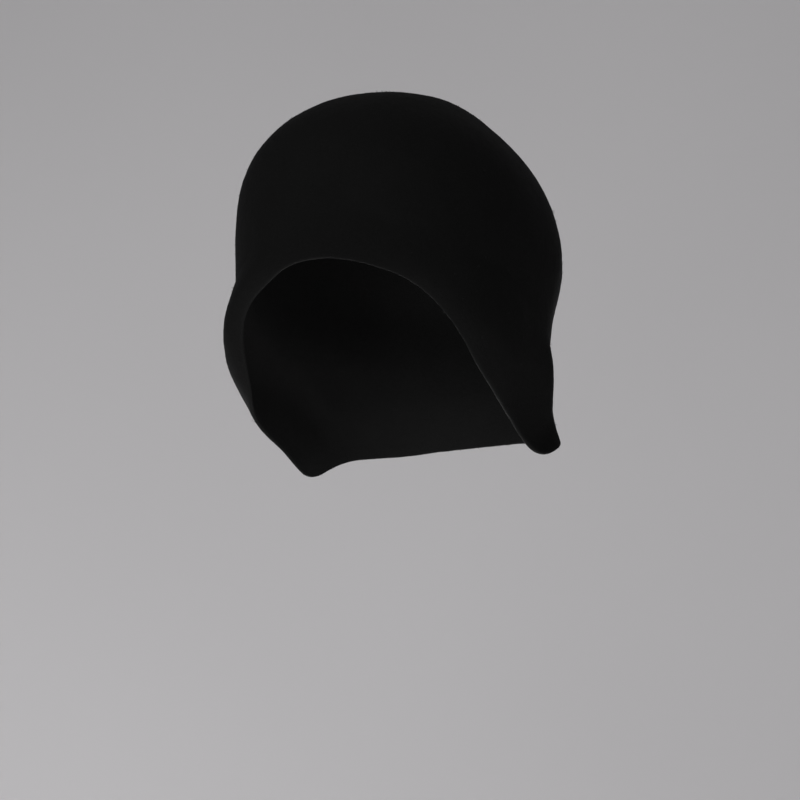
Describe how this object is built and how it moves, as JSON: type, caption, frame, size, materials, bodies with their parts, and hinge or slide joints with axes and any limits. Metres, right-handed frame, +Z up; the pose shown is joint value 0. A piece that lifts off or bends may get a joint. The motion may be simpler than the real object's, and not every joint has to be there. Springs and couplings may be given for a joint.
{
  "type": "running beanie",
  "caption": "Moulded felt cap with a domed crown, an arch over the brow and ear flaps that run on into a nape skirt, kept in its worn form.",
  "frame": {"origin": "highest point of the inside of the crown, where the cap hangs on a head", "axes": "+Z up as worn, -Y toward the face, +X toward the wearer's left"},
  "size_m": [0.1972, 0.2056, 0.2281],
  "materials": {
    "felt": "matt black pressed wool felt with a short fuzz"
  },
  "bodies": {
    "root": {"felt_cap": "felt"}
  },
  "joints": []
}
